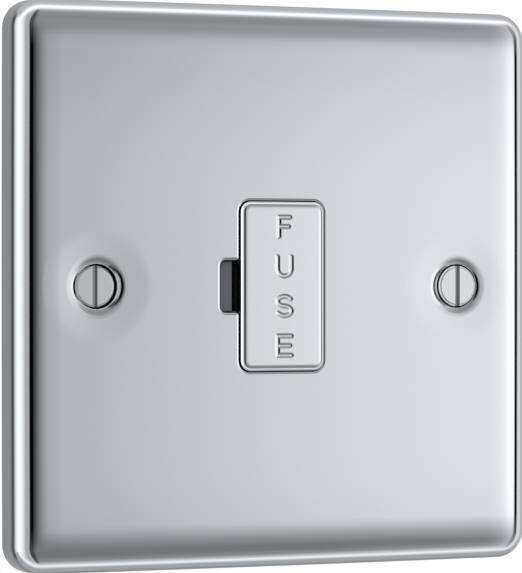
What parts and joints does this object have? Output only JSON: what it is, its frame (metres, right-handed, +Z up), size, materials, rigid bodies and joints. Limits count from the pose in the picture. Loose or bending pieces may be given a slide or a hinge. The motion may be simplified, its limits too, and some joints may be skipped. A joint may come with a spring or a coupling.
{
  "type": "fused spur unit",
  "caption": "Square polished chrome wall plate with a pull-out cartridge fuse carrier, slotted fixing screws and wire terminals behind, for a fused mains spur.",
  "frame": {"origin": "middle of the plate in the plane of the wall, midway between the fixing screws", "axes": "+Z up, +X to the right seen from the room, +Y into the wall"},
  "size_m": [0.086, 0.0271, 0.086],
  "materials": {
    "plate_chrome": "polished",
    "cap_chrome": "polished",
    "screw_chrome": "polished",
    "base_grey": "fine moulded grain",
    "cover_grey": "fine moulded grain",
    "drawer_black": "fine moulded grain",
    "fuse_ceramic": "unglazed",
    "fuse_nickel": "nickel plated",
    "fuse_wire": "tinned wire",
    "clip_bronze": "rolled strip",
    "terminal_brass": "machined",
    "strip_brass": "rolled strip",
    "zinc_steel": "zinc plated"
  },
  "bodies": {
    "unit": {"front_plate": "plate_chrome", "fixing_screws": "screw_chrome", "base_moulding": "base_grey", "rear_cover": "cover_grey", "supply_fuse_clip": "clip_bronze", "load_fuse_clip": "clip_bronze", "live_supply_terminal": "terminal_brass", "live_load_terminal": "terminal_brass", "neutral_supply_terminal": "terminal_brass", "neutral_load_terminal": "terminal_brass", "earth_supply_terminal": "terminal_brass", "earth_load_terminal": "terminal_brass", "neutral_link": "strip_brass", "earth_strap_upper": "strip_brass", "earth_strap_lower": "strip_brass", "terminal_screws": "zinc_steel", "pillar_screws": "zinc_steel", "cover_screws": "zinc_steel"},
    "carrier": {"carrier_cap": "cap_chrome", "carrier_drawer": "drawer_black", "fuse_barrel": "fuse_ceramic", "fuse_cap_upper": "fuse_nickel", "fuse_cap_lower": "fuse_nickel", "fuse_element": "fuse_wire"}
  },
  "joints": [
    {"name": "carrier_slide", "type": "slide", "parent": "unit", "child": "carrier", "axis": [0, -1, 0], "range_m": [0, 0.01]}
  ]
}
